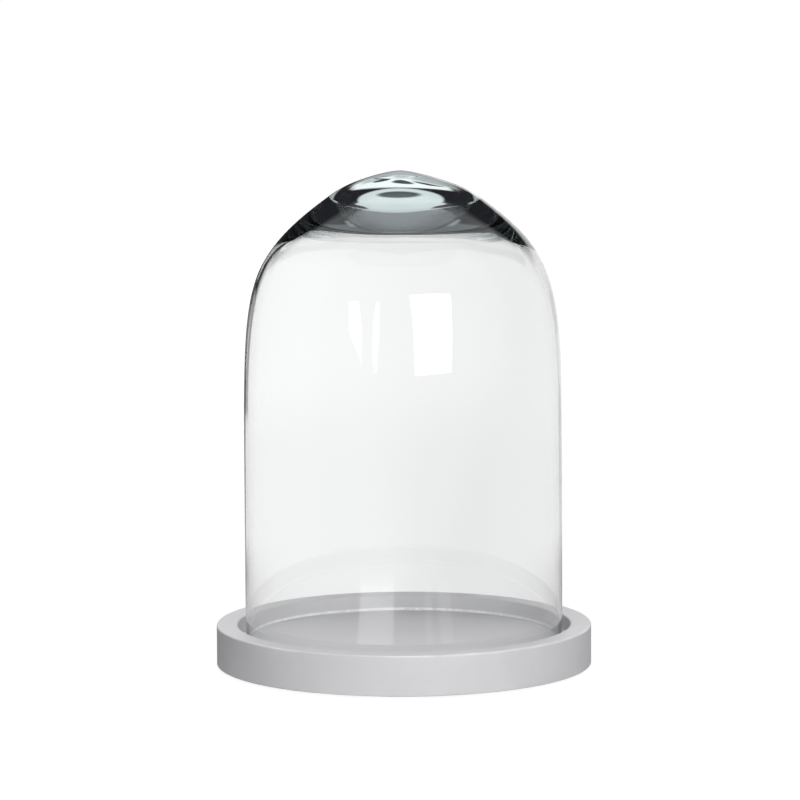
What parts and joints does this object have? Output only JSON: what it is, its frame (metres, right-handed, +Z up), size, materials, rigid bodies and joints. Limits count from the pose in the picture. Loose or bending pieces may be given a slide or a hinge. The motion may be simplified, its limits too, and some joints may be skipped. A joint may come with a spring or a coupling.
{
  "type": "food cloche",
  "caption": "Clear blown-glass bell with a thick solid crown, standing loose in the recess of a round satin grey tray; it covers food and lifts straight off.",
  "frame": {"origin": "middle of the surface that the felt pads stand on, on the axis of the bell and the tray", "axes": "+Z up along the axis of the bell and the tray; -Y faces the camera of the picture"},
  "size_m": [0.21, 0.21, 0.2783],
  "materials": {
    "clear_glass": "clear fire-polished soda-lime glass, faint aqua tint in the thick crown",
    "satin_grey_paint": "turned board in smooth satin light grey paint",
    "grey_felt": "pressed wool felt"
  },
  "bodies": {
    "tray": {"tray": "satin_grey_paint", "felt_pad_1": "grey_felt", "felt_pad_2": "grey_felt", "felt_pad_3": "grey_felt", "felt_pad_4": "grey_felt"},
    "bell": {"glass_bell": "clear_glass"}
  },
  "joints": [
    {"name": "bell_lift", "type": "slide", "parent": "tray", "child": "bell", "axis": [0, 0, 1], "range_m": [0, 0.27]}
  ]
}
